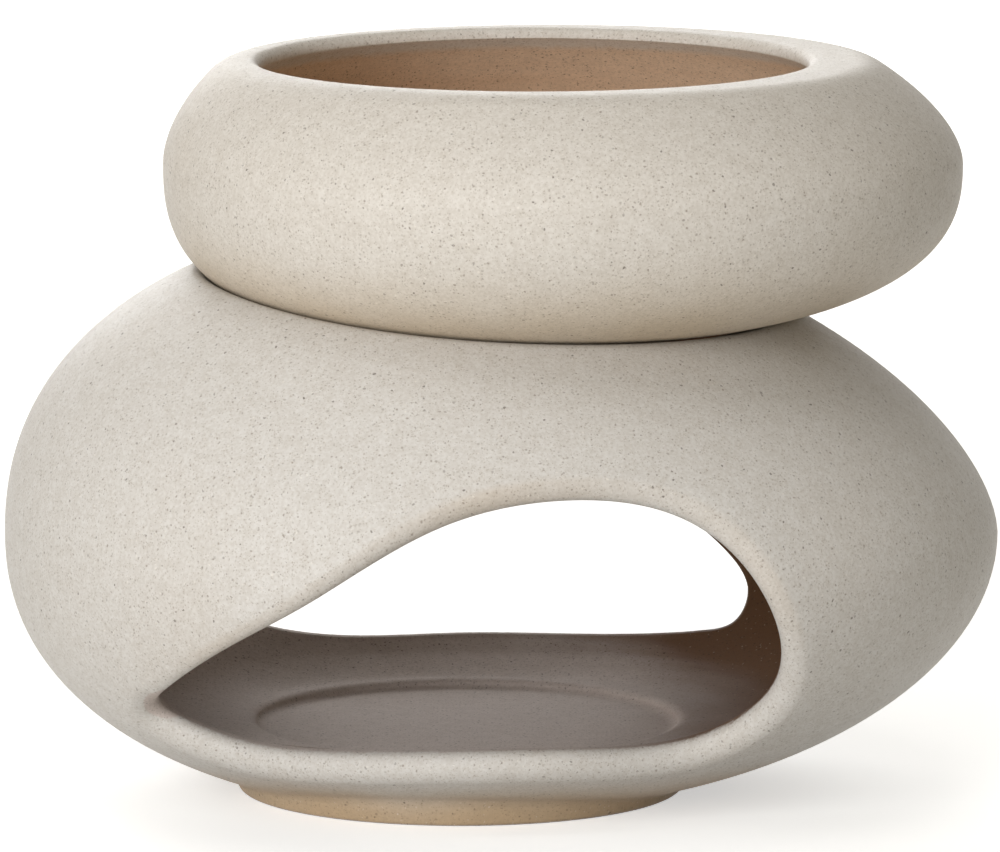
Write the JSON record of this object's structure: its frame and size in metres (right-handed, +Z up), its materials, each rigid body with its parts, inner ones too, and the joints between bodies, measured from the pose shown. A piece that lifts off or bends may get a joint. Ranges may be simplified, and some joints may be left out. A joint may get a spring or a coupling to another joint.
{
  "type": "essential oil burner",
  "caption": "Two-piece speckled stoneware oil burner: a hollow pebble base with leaf windows for a tea light, and a pebble bowl nested on top.",
  "frame": {"origin": "middle of the foot ring, on the table", "axes": "+Z up, +X along the long side towards the side the bowl overhangs, front window faces -Y"},
  "size_m": [0.16, 0.1393, 0.1185],
  "materials": {
    "base_stoneware": "satin",
    "bowl_stoneware": "satin"
  },
  "bodies": {
    "base": {"burner_base": "base_stoneware"},
    "bowl": {"oil_bowl": "bowl_stoneware"}
  },
  "joints": [
    {"name": "bowl_lift", "type": "slide", "parent": "base", "child": "bowl", "axis": [0, 0, 1], "range_m": [0, 0.1]}
  ]
}
